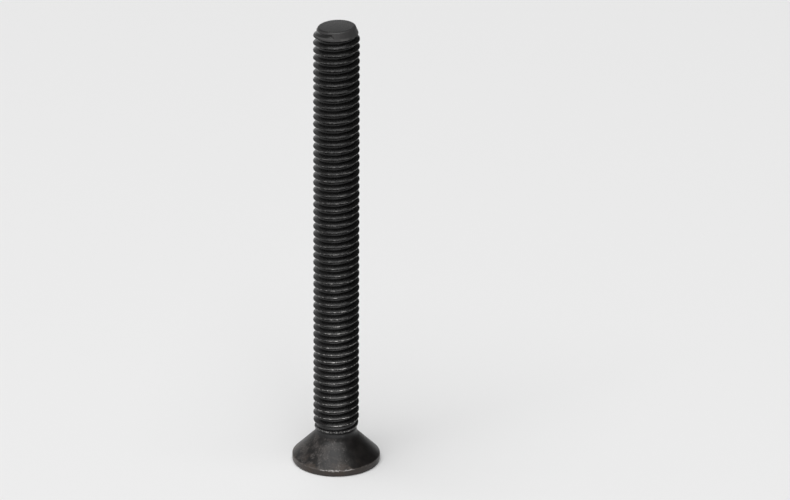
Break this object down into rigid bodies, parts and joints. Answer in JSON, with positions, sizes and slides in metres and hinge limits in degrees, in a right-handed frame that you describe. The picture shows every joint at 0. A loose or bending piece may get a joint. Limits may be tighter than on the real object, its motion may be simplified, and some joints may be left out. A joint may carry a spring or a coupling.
{
  "type": "countersunk socket screw",
  "caption": "Long black-oxide steel screw threaded to the neck, with a 90 degree countersunk head and a hexagon socket, standing on its head with the tip up.",
  "frame": {"origin": "centre of the head face, which rests on the surface", "axes": "+Z along the shank towards the tip, +X through a corner of the hexagon socket, and a plain view from -Y is the picture's side"},
  "size_m": [0.0114, 0.0114, 0.06],
  "materials": {
    "black_oxide": "black-oxide steel, dull and slightly mottled, worn bright along the seat's edge"
  },
  "bodies": {
    "root": {"screw": "black_oxide"}
  },
  "joints": []
}
